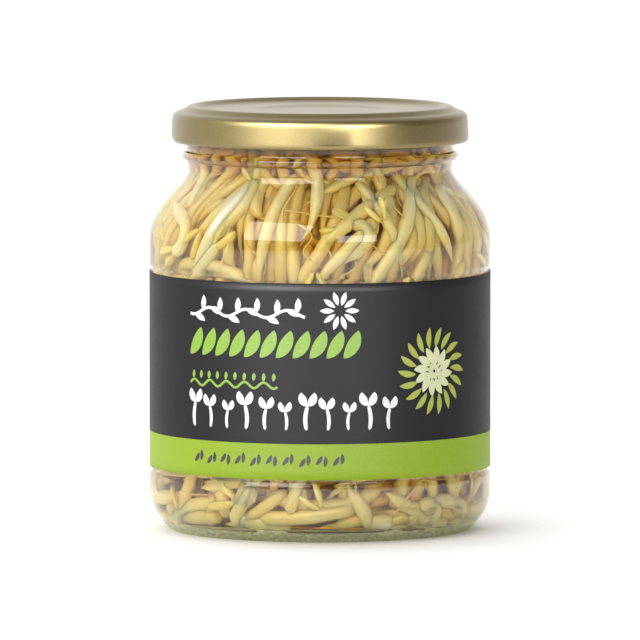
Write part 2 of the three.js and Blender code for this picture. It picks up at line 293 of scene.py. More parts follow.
def soda_lime_glass(name, bend, oxide):
    """Pressed soda-lime glass: fire polished, with a faint green that shows where it is thick. Its IOR is
    1.52 against air, and 1.52 / 1.34 on the inner side that the brine wets, where hardly any light turns
    back. Tin oxide, sprayed on the hot glass, has an IOR near 1.9 and brightens what its outer side shows."""
    material, tree, place = new_material(name)
    height = add_node(tree, "SeparateXYZ", {0: place}).outputs["Z"]
    thick = add_node(tree, "MapRange", {0: height, 1: 0.0, 2: 0.006})
    colour = add_node(tree, "ValToRGB", {"Fac": thick}, [(0, "#dcebdc"), (1, "#fbfdfb")])
    ripple = add_node(tree, "TexNoise", {"Vector": place, "Scale": 45.0, "Detail": 1.0})
    bump = add_node(tree, "Bump", {"Height": ripple, "Distance": 0.0006, "Strength": 0.12})
    sockets = {"Base Color": colour, "Roughness": 0.01, "Transmission Weight": 1.0, "Normal": bump}
    sockets |= {"IOR": bend, "Coat Weight": oxide, "Coat Roughness": 0.02, "Coat IOR": 1.9}
    glass = add_node(tree, "BsdfPrincipled", sockets)
    clear = lamps_through(tree, glass, linear("#f6f8f6"))
    add_node(tree, "OutputMaterial", {"Surface": clear})
    return material


body_vertices, body_faces = turned(glass_outline(), GLASS_SIDES)
ramps = [thread_ramp(THREAD_START + i * 2 * math.pi / LUG_COUNT) for i in range(LUG_COUNT)]
bare_glass = soda_lime_glass("soda_lime_glass", GLASS_IOR, 0.38)
wetted_glass = soda_lime_glass("soda_lime_glass_wetted", GLASS_IOR / BRINE_IOR, 0.0)
jar_mesh = joined((knurled(body_vertices), body_faces), *ramps)
jar = made_piece("jar_of_glass", *jar_mesh, [bare_glass, wetted_glass, knurled_glass()])
middle_of = np.array([body_vertices[face].mean(0) for face in body_faces])
across = np.hypot(middle_of[:, 0], middle_of[:, 1])
deepest = np.interp(middle_of[:, 2], *hollow_outline(0, RIM_TOP, 24)[1:, ::-1].T)
wetted = (across < deepest + 0.2) & (middle_of[:, 2] > FLOOR_EDGE - 0.05) & (middle_of[:, 2] < BRINE_LEVEL)
knurls = (middle_of[:, 2] < KNURL_BAND) & ~wetted
finish = np.where(knurls, 2, wetted)
finish = np.concatenate([finish, np.zeros(len(jar.data.polygons) - len(finish))])
jar.data.polygons.foreach_set("material_index", finish.astype(np.int32))
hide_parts("jar_glass")
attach(jar, "jar")

# The bean sprouts are mung beans sprouted in the dark: a white stem as thick as a straw, a root that tapers
# to a thread, and two yellow seed leaves at the other end. They are packed by hand and lie in swathes along
# the glass, one layer over another; the deeper ones are painted darker amber, as painted shade between them.
STEM_RADIUS = 1.6
STEM_TRIES = 900
STEM_SPACING = 3.5
HIDDEN_SPACING = 6.0
OVER_SPACING = 15.0
STEM_LOW = 7.0
STEM_HIGH = 89.5
SEED = 20
OVER_DEPTH = 2.15
UNDER_DEPTH = 4.3
LAYER_STEP = 1.9
DEEP_LAYERS = 2
HEART_DEPTH = 9.5
HEART_TOP = 88.0
FLOOR_STEMS = 8
TOP_STEMS = 6
TOP_HEIGHT = 91.1
STEM_RINGS = 22
STEM_SIDES = 10
DEEP_RINGS = 14
DEEP_SIDES = 7
WALL_COLUMNS = int(2 * math.pi * INNER_RADIUS)
WALL_ROWS = 100
COARSE_SHARE = np.arange(15) / 14 - 0.5
FINE_SHARE = np.arange(60) / 59 - 0.5
FRONT_LOW = 5.4
END_DIVE = 2.2


def seeded_draws(seed):
    """A linear congruential draw: each state is the last times a constant plus another, kept to 32 bits."""
    state = seed
    while True:
        state = (state * 1664525 + 1013904223) % 4294967296
        yield state / 4294967296


def lean(angle, height):
    """How stems lean on the wall: a swathe angle that swings round the jar, and slants more low down."""
    swathe = math.radians(68) + math.radians(25) * math.sin(5 * angle + math.radians(240))
    low = eased(np.clip((24 - height) / 16, 0, 1))
    return swathe + math.radians(62) * low * np.sign(math.sin(7 * angle))


def wall_points(stem, share):
    """Angle and height along a wall sprout: its length's share times a turning slope's cosine and sine."""
    slope = stem["slope"] + stem["bow"] * share
    height = stem["height"] + stem["length"] * share * np.sin(slope)
    around = stem["length"] * share * np.cos(slope) / INNER_RADIUS
    return np.array([stem["angle"] + around, np.clip(height, stem.get("low", STEM_LOW), STEM_HIGH)])


def nearest(taken, points):
    """The least distance on the unrolled wall between one sprout's points and those of all the taken ones."""
    around = (taken[:, 0, :, None] - points[0] + np.pi) % (2 * np.pi) - np.pi
    return np.hypot(around * INNER_RADIUS, taken[:, 1, :, None] - points[1]).min()


def wall_layout():
    """Draws sprouts one after another and keeps those that lie clear of the kept ones of their own layer."""
    draw = seeded_draws(SEED)
    kept = []
    for i in range(STEM_TRIES):
        angle = 2 * math.pi * next(draw)
        height = STEM_LOW + (STEM_HIGH - STEM_LOW) * next(draw)
        stem = {"angle": angle, "height": height, "over": i % 3 == 0}
        stem["slope"] = lean(angle, height) + math.radians(30 * next(draw) - 15)
        stem["length"] = 30 + 22 * next(draw)
        stem["bow"] = math.radians(60 * next(draw) - 30)
        stem["points"] = wall_points(stem, COARSE_SHARE)
        hidden = LABEL_LOW + 8 < height < LABEL_HIGH - 8
        spacing = OVER_SPACING if stem["over"] else HIDDEN_SPACING if hidden else STEM_SPACING
        layer = np.array([other["points"] for other in kept if other["over"] == stem["over"]])
        if not len(layer) or nearest(layer, stem["points"]) >= spacing:
            kept.append(stem)
    for i, stem in enumerate(kept):
        stem["depth"] = OVER_DEPTH if stem["over"] else UNDER_DEPTH
        stem["headed"] = stem["over"] and i % 2 == 1
    return kept


def stray_sprouts(seed, tries, depth, stray, lengths, low=STEM_LOW, high=STEM_HIGH, flat=False, bowing=0.7):
    """Draws sprouts at one depth and between two heights. Each leans as its swathe does, or lies flat, plus a
    normal draw of the stray, and its bow is a normal draw too. Its ends dive inwards."""
    draw = np.random.default_rng(seed)
    for _ in range(tries):
        angle, height = draw.uniform(0, 2 * math.pi), draw.uniform(low, high)
        stem = {"angle": angle, "height": height, "depth": depth + draw.uniform(-0.3, 0.3), "headed": False}
        stem["slope"] = (0 if flat else lean(angle, height)) + draw.normal(0, stray)
        stem["length"] = draw.uniform(*lengths)
        stem["bow"] = draw.normal(0, bowing)
        yield stem | {"low": min(low, STEM_LOW), "dive": END_DIVE}


def spaced(drawn, spacing, headed_each, others):
    """Keeps the drawn sprouts that lie clear of each other and of the others, some with seed leaves."""
    taken = [other["points"] for other in others]
    kept = []
    for stem in drawn:
        stem["points"] = wall_points(stem, COARSE_SHARE)
        if not taken or nearest(np.array(taken), stem["points"]) >= spacing:
            stem["headed"] = len(kept) % headed_each == 1
            taken.append(stem["points"])
            kept.append(stem)
    return kept


def covered_cells(points):
    """The cells of the unrolled wall, a millimetre each way, under a sprout's points and beside them."""
    around = points[0] * INNER_RADIUS
    column = np.floor(np.add.outer(around, [-1, 0, 1, 0, 0])).astype(int) % WALL_COLUMNS
    row = np.clip(np.floor(np.add.outer(points[1], [0, 0, 0, -1, 1])), 0, WALL_ROWS - 1).astype(int)
    return row, column


def in_gaps(drawn, others, least=0.55):
    """Keeps each drawn sprout where at least a share of the wall under it is left bare by the rest."""
    covered = np.zeros((WALL_ROWS, WALL_COLUMNS), bool)
    for other in others:
        covered[covered_cells(wall_points(other, FINE_SHARE))] = True
    kept = []
    for stem in drawn:
        row, column = covered_cells(wall_points(stem, FINE_SHARE))
        if np.mean(~covered[row[:, 1], column[:, 1]]) >= least:
            covered[row, column] = True
            kept.append(stem)
    return kept


def hollow_radius(height):
    """The hollow's radius at a height, read off its outline."""
    outline = hollow_outline(0, RIM_TOP, 40)
    outline = outline[outline[:, 0] > 24]
    return np.interp(height, outline[:, 1], outline[:, 0])


def wall_line(stem, rings):
    """A wall sprout's centre line: its angle and height, at its depth in from the glass plus a small wave
    and, at both ends, a dive that grows as the fourth power."""
    share = np.linspace(-0.5, 0.5, rings)
    angle, height = wall_points(stem, share)
    dive = stem.get("dive", 0) * np.abs(2 * share) ** 4
    radius = hollow_radius(height) - stem["depth"] - dive - 0.3 * np.sin(7 * share + stem["angle"] * 9)
    return placed(radius, angle, height)


def flat_lines(rings):
    """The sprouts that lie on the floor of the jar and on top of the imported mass: each is a straight line off
    the middle by an offset, bowed by a parabola."""
    draw = seeded_draws(SEED + 1)
    share = np.linspace(-0.5, 0.5, rings)[:, None]
    lines = []
    for i in range(FLOOR_STEMS + TOP_STEMS):
        reach, height = (26, FLOOR_MIDDLE + 3.05) if i < FLOOR_STEMS else (18, TOP_HEIGHT)
        offset = reach * (next(draw) * 1.6 - 0.8)
        length = 2 * math.sqrt((reach + 3) ** 2 - offset**2) * 0.85
        bow = 6 * next(draw) - 3
        along = np.array([math.cos(i * 2.4), math.sin(i * 2.4), 0])
        across = np.array([-along[1], along[0], 0])
        lines.append(share * length * along + (offset + bow * share**2) * across + [0, 0, height])
    return lines


def frames_along(lines):
    """Unit tangents of many lines, and two unit vectors across each: along the glass and out of it."""
    tangent = np.gradient(lines, axis=1)
    tangent /= np.linalg.norm(tangent, axis=2, keepdims=True)
    outward = lines * [1, 1, 0]
    outward /= np.maximum(np.linalg.norm(outward, axis=2, keepdims=True), 1e-6)
    outward = np.where(np.abs(tangent[..., 2:]) < 0.05, np.array([0, 0, 1.0]) + 0.5 * outward, outward)
    across = np.cross(outward, tangent)
    across /= np.linalg.norm(across, axis=2, keepdims=True)
    return tangent, across, np.cross(tangent, across)


def stem_bodies(lines, seed, thick=STEM_RADIUS, sides=STEM_SIDES):
    """Round sections carried along the lines. The radius grows from the root's thread to the stem, wavers a
    little on its way, and closes at the neck: radius = rise * fall * (1 + small waves)."""
    lines = np.array(lines)
    count, rings = lines.shape[:2]
    draw = np.random.default_rng(seed)
    share = np.linspace(0, 1, rings)[None, :]
    root = draw.uniform(0.1, 0.5, (count, 1))
    rise = 0.1 + 0.9 * eased(np.clip(share / root, 0, 1))
    fall = np.sqrt(np.clip((1 - share) * 14, 0, 1)) * np.sqrt(np.clip(share * 60, 0, 1))
    waves = 1 + 0.05 * np.sin(share * draw.uniform(9, 22, (count, 1)) + draw.uniform(0, 6, (count, 1)))
    size = thick * draw.uniform(0.8, 1.08, (count, 1)) * rise * waves * np.maximum(fall, 0.02)
    tangent, across, outward = frames_along(lines)
    turn = np.arange(sides) * 2 * np.pi / sides
    sideways = across[:, :, None] * np.cos(turn)[:, None] * size[:, :, None, None]
    upward = outward[:, :, None] * np.sin(turn)[:, None] * size[:, :, None, None]
    vertices = (lines[:, :, None] + sideways + upward).reshape(-1, 3)
    one = grid_faces(rings, sides)
    starts = np.arange(count) * rings * sides
    faces = (one[None] + starts[:, None, None]).reshape(-1, 4).tolist()
    first = np.arange(sides)
    faces += (first[None, ::-1] + starts[:, None]).tolist()
    faces += (first[None] + starts[:, None] + (rings - 1) * sides).tolist()
    return vertices, faces, np.repeat(draw.uniform(0, 1, count), rings * sides)


def depth_of(vertices):
    """How far in from the glass each point lies, in millimetres, plus up to 7.2 mm more in the neck as painted
    shadow under the cap.
    """
    side = hollow_radius(vertices[:, 2]) - np.hypot(vertices[:, 0], vertices[:, 1])
    # Above 83 mm the depth grows, so the flesh is painted darker: painted shadow of the cap.
    return np.minimum(side, vertices[:, 2] - FLOOR_EDGE) + 1.2 * np.clip(vertices[:, 2] - 83, 0, 6)


def sprout_flesh(name, stops, pale_near_colour, pale_near_most):
    """Wet plant flesh under brine: nearly no gloss of its own, light that soaks in a few millimetres, and a
    colour painted by depth, pale cream at the glass to amber brown a centimetre in: painted shade, standing for
    the shade and the brine's amber between the stems."""
    material, tree, place = new_material(name)
    depth = add_node(tree, "Attribute", attribute_name="depth").outputs["Fac"]
    tone = add_node(tree, "Attribute", attribute_name="tone").outputs["Fac"]
    # Blotches about 2.5 mm across, and fibres about 0.4 mm apart, drawn coarser than real ones to show.
    blotch = add_node(tree, "TexNoise", {"Vector": place, "Scale": 400.0, "Detail": 3.0})
    fibre = add_node(tree, "TexNoise", {"Vector": place, "Scale": 2400.0, "Detail": 1.0})
    uneven = add_node(tree, "MapRange", {0: blotch, 1: 0.3, 2: 0.7, 3: -0.9, 4: 0.9})
    sunk = add_node(tree, "Math", {0: depth, 1: uneven}, operation="ADD")
    share = add_node(tree, "MapRange", {0: sunk, 1: 0.0, 2: HEART_DEPTH})
    colour = add_node(tree, "ValToRGB", {"Fac": share}, stops)
    # Painted light: flesh within 4.5 mm of the glass is mixed towards the pale colour.
    near = add_node(tree, "MapRange", {0: depth, 1: 4.5, 2: 0.5, 3: 0.0, 4: pale_near_most})
    # The flesh is less pale low in the jar, below 30 mm.
    height = add_node(tree, "SeparateXYZ", {0: place}).outputs["Z"]
    paler_higher = add_node(tree, "MapRange", {0: height, 1: 0.012, 2: 0.03, 3: 0.4, 4: 1.0})
    clear = add_node(tree, "Math", {0: near, 1: paler_higher}, operation="MULTIPLY")
    paleness = add_node(tree, "Math", {0: clear, 1: tone}, operation="MULTIPLY")
    pale = add_node(tree, "Mix", {0: paleness, 6: colour, 7: linear(pale_near_colour)}, data_type="RGBA").outputs[2]
    rough = add_node(tree, "MapRange", {0: fibre, 1: 0.2, 2: 0.8, 3: 0.34, 4: 0.5})
    bump = add_node(tree, "Bump", {"Height": fibre, "Distance": 0.0002, "Strength": 0.25})
    sockets = {
        "Base Color": pale, "Roughness": rough, "Normal": bump, "IOR": 1.36, "Specular IOR Level": 0.25,
        "Subsurface Weight": 0.75, "Subsurface Radius": (1.0, 0.85, 0.6), "Subsurface Scale": 0.003,
    }
    add_node(tree, "OutputMaterial", {"Surface": add_node(tree, "BsdfPrincipled", sockets)})
    return material


# Stem colours by depth, cream at the glass to amber brown deep in: painted shade.
STEM_DEPTH_SHADE_STOPS = [(0, "#f1dca8"), (0.35, "#ebcd8c"), (0.6, "#e0b362"), (1, "#cc9638")]

own_stems = wall_layout()
over_stems = [stem for stem in own_stems if stem["over"]]
CENTRE = -math.pi / 2
# Some that lie against the glass at the front: angle from the front, height, slope, length and bow.
FRONT_STEMS = [
    (16, 75.5, 27, 30, -12), (8, 67.0, 42, 24, -10), (27, 72.5, 112, 24, 14), (-41, 72.5, 60, 30, 10),
    (-20, 72.0, 76, 30, -14), (-6, 6.4, 5, 26, 8), (47, 74.0, 118, 26, -10), (-27, 11.0, 58, 18, 10),
]


def crook_line(angle, height, slope, length, hook, rings=STEM_RINGS):
    """A sprout with its neck bent over: its slope turns by the hook over the second half of its length,
    smoothly, and its place is the running sum of its steps along the wall."""
    share = np.linspace(0, 1, rings)
    heading = np.radians(slope + hook * eased(np.clip((share - 0.5) / 0.45, 0, 1)))
    step = length / (rings - 1)
    around = math.radians(angle) + CENTRE + np.cumsum(np.cos(heading)) * step / INNER_RADIUS
    up = np.clip(height + np.cumsum(np.sin(heading)) * step, FRONT_LOW, STEM_HIGH)
    radius = hollow_radius(up) - OVER_DEPTH + 0.25
    return placed(radius, around, up)


# Bent ones near the floor and shoulder: angle of the root from the front, its height, slope, length and hook.
CROOKS = [
    (22, 12.5, -30, 26, 235), (-50, 11.5, 10, 24, -200), (-33, 6.5, 62, 15, -40), (-12, 6.2, 68, 13, 30),
    (9, 14.0, -55, 17, 60), (-46, 66.5, 48, 20, 60), (4, 63.5, 35, 17, 140), (58, 66.0, 80, 19, -120),
]
crook_draw = np.random.default_rng(71)
for _ in range(16):
    low_down = crook_draw.uniform() < 0.5
    spot = crook_draw.uniform(70, 290), crook_draw.uniform(8, 12) if low_down else crook_draw.uniform(64, 78)
    slope, length = crook_draw.uniform(-40, 90), crook_draw.uniform(15, 24)
    CROOKS.append((*spot, slope, length, crook_draw.uniform(-220, 220)))
crook_lines = [crook_line(*crook) for crook in CROOKS]

front_stems = []
for angle, height, slope, length, bow in FRONT_STEMS:
    stem = {"angle": CENTRE + math.radians(angle), "height": height, "low": FRONT_LOW}
    stem |= {"slope": math.radians(slope), "length": length, "bow": math.radians(bow)}
    stem |= {"depth": OVER_DEPTH - 0.2, "dive": 1.5, "headed": False}
    stem["points"] = wall_points(stem, COARSE_SHARE)
    front_stems.append(stem)

LONG, SHORT = (26, 52), (12, 24)
OVER_MORE = OVER_DEPTH + 0.2
MIDDLE_DEPTH = (OVER_DEPTH + UNDER_DEPTH) / 2
more_over = spaced(stray_sprouts(31, 1500, OVER_MORE, 0.6, LONG), 3.3, 6, over_stems + front_stems)
ring_drawn = stray_sprouts(36, 300, OVER_MORE, 0.3, (16, 34), 4.9, 9.0, flat=True)
outer = over_stems + more_over + spaced(ring_drawn, 2.8, 3, front_stems) + front_stems
near_stems = own_stems + outer[len(over_stems) :]
floor_drawn = stray_sprouts(60, 2500, OVER_DEPTH + 0.6, 0.12, SHORT, 4.7, 6.6, flat=True, bowing=0.2)
near_stems += in_gaps(floor_drawn, outer, 0.4)
middle = in_gaps(stray_sprouts(33, 2500, MIDDLE_DEPTH, 0.7, LONG), outer, 0.6)
middle += in_gaps(stray_sprouts(34, 2500, MIDDLE_DEPTH, 1.0, SHORT, FRONT_LOW), outer + middle, 0.6)
middle_strays = stray_sprouts(35, 3000, UNDER_DEPTH + 0.6, 1.0, SHORT, 5.6)
middle_stems = middle + in_gaps(middle_strays, near_stems + middle, 0.45)
deep_stems = []
for k in range(DEEP_LAYERS):
    depth = UNDER_DEPTH + LAYER_STEP * (k + 1)
    deep_stems += in_gaps(stray_sprouts(40 + k, 1200, depth, 0.6, LONG), [], 0.5)
    deep_strays = stray_sprouts(50 + k, 1500, depth + 0.8, 1.0, SHORT, 6.5)
    deep_stems += in_gaps(deep_strays, near_stems + middle_stems, 0.3)

near_lines = [wall_line(stem, STEM_RINGS) for stem in near_stems] + flat_lines(STEM_RINGS) + crook_lines
middle_lines = [wall_line(stem, STEM_RINGS) for stem in middle_stems]
deep_lines = [wall_line(stem, DEEP_RINGS) for stem in deep_stems]


def flesh_piece(name, vertices, faces, tones, material, deeper=0.0):
    """A piece of the sprouts, whose points carry a tone and their depth in from the glass, or deeper; the depth
    sets its painted shade.
    """
    values = {"tone": tones, "depth": depth_of(vertices) + deeper}
    piece = made_piece(name, vertices, faces, [material], values)
    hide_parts("sprouts")
    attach(piece, "jar")


flesh = sprout_flesh("sprout_stem_flesh", STEM_DEPTH_SHADE_STOPS, "#fbefd6", 0.8)
flesh_piece("sprout_stems", *stem_bodies(near_lines, 5), flesh)
flesh_piece("sprout_stems_middle", *stem_bodies(middle_lines, 7), flesh)
flesh_piece("sprout_stems_deep", *stem_bodies(deep_lines, 6, sides=DEEP_SIDES), flesh)

# The seed leaves are the two halves of the bean at the end of the neck, plump and a little opened. They grew
# in the dark, so they are pale yellow with hardly any green.
# Leaf colours by depth, paler at the glass and darker further in: painted shade.
LEAF_DEPTH_SHADE_STOPS = [(0, "#f0dc8f"), (0.4, "#e8cd74"), (1, "#cfa850")]
LEAF_LENGTH = 3.8
LEAF_WIDTH = 2.1
LEAF_THICK = 1.5
LEAF_OPENING = 0.35


def seed_leaves(tips, alongs, outwards, seed, rings=12, sides=14, scale=1.0):
    """Half beans: an ovoid whose width swells towards the tip and whose inner face is flattened. A point is
    the tip's place plus length, width and thickness along three directions, turned apart by the opening."""
    draw = np.random.default_rng(seed)
    share = np.linspace(0, 1, rings)[:, None]
    turn = np.arange(sides) * 2 * np.pi / sides
    swell = np.sqrt(np.clip(1 - (2 * share - 1) ** 2, 0.0004, 1)) * (0.82 + 0.25 * share)
    parts, tones = [], []
    for tip, along, outward in zip(tips, alongs, outwards):
        across = np.cross(outward, along)
        for side in (-1, 1):
            opening = LEAF_OPENING * draw.uniform(0.5, 1.5)
            heading = along * math.cos(opening) + across * side * math.sin(opening)
            spread = np.cross(heading, outward)
            wide = scale * LEAF_WIDTH * draw.uniform(0.7, 1.1) * swell * np.sin(turn)
            thick = scale * LEAF_THICK * swell * np.cos(turn)
            thick = np.where(thick * side < 0, thick * 0.35, thick)
            ahead = (2 * share - 0.15) * LEAF_LENGTH * scale * draw.uniform(0.75, 1.15) + 0 * turn
            points = tip + ahead[..., None] * heading + wide[..., None] * outward - thick[..., None] * spread
            points = points + across * side * 0.35
            faces = grid_faces(rings, sides)
            ends = [list(range(sides)), [(rings - 1) * sides + i for i in range(sides)]]
            normal = np.cross(points[5, 1] - points[5, 0], points[6, 0] - points[5, 0])
            outwards_faced = normal @ (points[5, 0] - points[5].mean(0)) >= 0
            ends[0 if outwards_faced else 1].reverse()
            parts.append((points.reshape(-1, 3), faces[:, :: 1 if outwards_faced else -1].tolist() + ends))
            tones.append(np.full(rings * sides, draw.uniform()))
    return *joined(*parts), np.concatenate(tones)


headed = [wall_line(stem, STEM_RINGS) for stem in near_stems + middle_stems if stem["headed"]]
headed_lines = np.array(headed + crook_lines)
tangents, _, outwards = frames_along(headed_lines)
tips = headed_lines[:, -2]
vertices, faces, tones = seed_leaves(tips, tangents[:, -2], outwards[:, -2], 8)
radius = np.hypot(vertices[:, 0], vertices[:, 1])
most = np.minimum(radius, hollow_radius(vertices[:, 2]) - 0.35)
vertices[:, :2] *= (most / np.maximum(radius, 1e-6))[:, None]
vertices[:, 2] = np.maximum(vertices[:, 2], FLOOR_MIDDLE + 0.3)
leaf_flesh = sprout_flesh("seed_leaf_flesh", LEAF_DEPTH_SHADE_STOPS, "#ecd98f", 0.6)
flesh_piece("sprout_seed_leaves", vertices, faces, tones, leaf_flesh)

# Between the stems hang root threads, thin and limp, and scraps of yellow leaf and of seed coat that came
# loose when the sprouts were rinsed and packed.
# Scrap colours by depth, paler at the glass and darker further in: painted shade.
SCRAP_DEPTH_SHADE_STOPS = [(0, "#e8d47c"), (0.5, "#dab95c"), (1, "#b98d3a")]
THREADS = 150
THREAD_RADIUS = 0.22
SCRAPS = 11
thread_draw = np.random.default_rng(91)
thread_lines = []
for _ in range(THREADS):
    share = np.linspace(-0.5, 0.5, STEM_RINGS)
    wander = thread_draw.normal(0, 1.2, 3)
    thread = {"angle": thread_draw.uniform(0, 2 * math.pi), "height": thread_draw.uniform(7, 86), "bow": 0}
    thread["slope"] = lean(thread["angle"], thread["height"]) + thread_draw.normal(0, 0.7)
    thread["length"] = thread_draw.uniform(9, 26)
    angle, height = wall_points(thread, share)
    bends = wander[0] * np.sin(5 * share) + wander[1] * np.sin(11 * share + wander[2])
    depth = thread_draw.uniform(0.6, 3.6) + 0.4 * np.sin(9 * share + wander[0])
    radius = hollow_radius(height) - depth
    angle = angle + bends / INNER_RADIUS
    thread_lines.append(placed(radius, angle, height))
# The threads count 2.5 mm deeper, so the depth colouring, painted shade, gives them its darker amber.
flesh_piece("sprout_root_threads", *stem_bodies(thread_lines, 12, THREAD_RADIUS, 6), flesh, 2.5)

angle = thread_draw.uniform(0, 2 * math.pi, SCRAPS)
is_low = thread_draw.uniform(size=SCRAPS) < 0.4
height = np.where(is_low, thread_draw.uniform(6, 17, SCRAPS), thread_draw.uniform(60, 88, SCRAPS))
radius = hollow_radius(height) - thread_draw.uniform(0.9, 2.2, SCRAPS)
places = placed(radius, angle, height)
outward = np.stack([np.cos(angle), np.sin(angle), np.zeros(SCRAPS)], -1)
heading = thread_draw.uniform(0, 2 * math.pi, SCRAPS)[:, None]
sideways = np.stack([-np.sin(angle), np.cos(angle), np.zeros(SCRAPS)], -1)
along = np.cos(heading) * sideways + np.sin(heading) * np.array([0, 0, 1.0])
scrap_flesh = sprout_flesh("leaf_scrap_flesh", SCRAP_DEPTH_SHADE_STOPS, "#efdb7a", 0.7)
flesh_piece("sprout_yellow_scraps", *seed_leaves(places, along, outward, 13, 8, 8, 0.8), scrap_flesh)

# The heart stands for the sprouts in the middle of the jar, which no view reaches. It is a smooth body of the
# same flesh, painted deep amber brown by its depth as painted shade, and closes what shows between the outer
# stems.
heart_outline = np.vstack([hollow_outline(HEART_DEPTH, HEART_TOP), [(0, HEART_TOP)]])
vertices, faces = turned(softened(heart_outline, 3), 96)
# With no pale tone and its great depth, the heart takes the darkest amber: painted shade.
flesh_piece("sprout_heart", vertices, faces, np.zeros(len(vertices)), flesh)

# The brine is water with salt and a little acid, tinted amber by the sprouts. It wets the glass all over
# below its level, so its body reaches a hair into the glass and the two bend light as one.
WETTING = 0.04


def amber_brine(name, bend):
    """Salt water: quite smooth, with the amber of what has soaked out of the sprouts. Its open surface bends
    light by IOR 1.34, and where it lies on the glass the glass's own wetted side does the bending."""
    material, tree, place = new_material(name)
    # Clouds of starch about 12 mm across make the amber uneven.
    cloud = add_node(tree, "TexNoise", {"Vector": place, "Scale": 85.0, "Detail": 2.0})
    tint = add_node(tree, "ValToRGB", {"Fac": cloud}, [(0.3, "#fbecc2"), (0.7, "#fff5d6")])
    sockets = {"Base Color": tint, "Roughness": 0.0, "IOR": bend, "Transmission Weight": 1.0}
    liquid = add_node(tree, "BsdfPrincipled", sockets)
    clear = lamps_through(tree, liquid, linear("#fff8e4"))
    # Half of the blue is gone after about 7 mm of brine, and a twelfth of the green.
    amber = add_node(tree, "VolumeAbsorption", {"Color": (0.985, 0.88, 0.1, 1), "Density": 110.0})
    add_node(tree, "OutputMaterial", {"Surface": clear, "Volume": amber})
    return material


brine_outline = np.vstack([hollow_outline(-WETTING, BRINE_LEVEL, 24), [(0, BRINE_LEVEL)]])
brine_materials = [amber_brine("amber_brine_on_glass", 1.0), amber_brine("amber_brine", BRINE_IOR)]
brine = made_piece("brine_body", *turned(brine_outline, 192), brine_materials)
level = np.array([brine.data.vertices[face.vertices[0]].co.z for face in brine.data.polygons])
flat_top = np.array([face.normal.z > 0.9 for face in brine.data.polygons])
flat_top &= level > BRINE_LEVEL / 1000 - 0.001
brine.data.polygons.foreach_set("material_index", flat_top.astype(np.int32))
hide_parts("brine")
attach(brine, "jar")

# The label is paper printed in charcoal with a lime band under it and satin varnish over all. It is wrapped
# round the jar in its recess and its end is lapped over its start at the back, with glue.
PAPER_OUTER = BODY_RADIUS
PAPER_THICK = 0.25
BAND_TOP = 23.4
LAP_ANGLES = (math.radians(86), math.radians(101))


def wrapped_sheet(low, high, inner, outer, columns=360, rows=24):
    """A band about Z, from a closed section, whose outer side is lifted where the end laps over."""
    height = np.linspace(low, high, rows)
    outside = np.stack([np.full(rows, outer), height], -1)
    inside = np.stack([np.full(rows, inner), height[::-1]], -1)
    vertices, faces = turned(np.vstack([outside, inside]), columns, ring=True)
    angle = np.arctan2(vertices[:, 1], vertices[:, 0])
    radius = np.hypot(vertices[:, 0], vertices[:, 1])
    lift = np.clip((angle - LAP_ANGLES[0]) * 400, 0, 1) * np.clip((LAP_ANGLES[1] - angle) * 25, 0, 1)
    lift = lift * (radius > (inner + outer) / 2) * (outer - inner) * 0.9
    vertices[:, :2] *= (1 + lift / radius)[:, None]
    return vertices, faces


def label_paper(name, low_field, high_field):
    """Coated paper under satin varnish: each of its two printed fields, one over the other, mixes two near
    tones by faint fibres."""
    material, tree, place = new_material(name)
    height = add_node(tree, "SeparateXYZ", {0: place}).outputs["Z"]
    above = add_node(tree, "MapRange", {0: height, 1: BAND_TOP / 1000 - 2e-5, 2: BAND_TOP / 1000 + 2e-5})
    # Paper fibres about half a millimetre long, drawn coarser than real ones so that they show.
    fibre = add_node(tree, "TexNoise", {"Vector": place, "Scale": 1800.0, "Detail": 4.0})
    low_colour = add_node(tree, "ValToRGB", {"Fac": fibre}, list(zip((0.3, 0.7), low_field)))
    high_colour = add_node(tree, "ValToRGB", {"Fac": fibre}, list(zip((0.3, 0.7), high_field)))
    fields = {0: above, 6: low_colour, 7: high_colour}
    colour = add_node(tree, "Mix", fields, data_type="RGBA").outputs[2]
    rough = add_node(tree, "MapRange", {0: fibre, 1: 0.3, 2: 0.7, 3: 0.46, 4: 0.56})
    bump = add_node(tree, "Bump", {"Height": fibre, "Distance": 0.00004, "Strength": 0.3})
    sockets = {"Base Color": colour, "Roughness": rough, "Normal": bump}
    sockets |= {"IOR": 1.4, "Specular IOR Level": 0.25}
    sockets |= {"Coat Weight": 0.05, "Coat Roughness": 0.3}
    add_node(tree, "OutputMaterial", {"Surface": add_node(tree, "BsdfPrincipled", sockets)})
    return material


label_vertices, label_faces = wrapped_sheet(LABEL_LOW, LABEL_HIGH, PAPER_OUTER - PAPER_THICK, PAPER_OUTER)
bare = ("#ece7d8", "#f4f0e4")
front_paper = label_paper("printed_label_paper", ("#97b428", "#9fbc30"), ("#141317", "#18171b"))
back_paper = label_paper("bare_label_paper", bare, bare)
label = made_piece("label_wrap", label_vertices, label_faces, [front_paper, back_paper])
label_radius = np.hypot(*np.array(label_vertices).T[:2])[np.array(label_faces)].max(1)
inner_side = label_radius < PAPER_OUTER - PAPER_THICK / 2
label.data.polygons.foreach_set("material_index", inner_side.astype(np.int32))
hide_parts("label")
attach(label, "jar")

# The printing is ink laid on the paper under the varnish: a vine, a row of bold leaves and rows of little
# plants in white and green at the left, a rosette at the right, and dark leaves along the lime band.
INK_HIGH = 0.03
INK_DEEP = 0.12
STROKE_STEPS = 17


def stroke(places, widths):
    """A printed stroke: its two edges are places plus or minus half a width along the path's normal."""
    places = np.asarray(places, float)
    ahead = np.gradient(places, axis=0)
    ahead /= np.linalg.norm(ahead, axis=1, keepdims=True)
    aside = np.stack([-ahead[:, 1], ahead[:, 0]], -1) * np.asarray(widths)[:, None] / 2
    return places + aside, places - aside


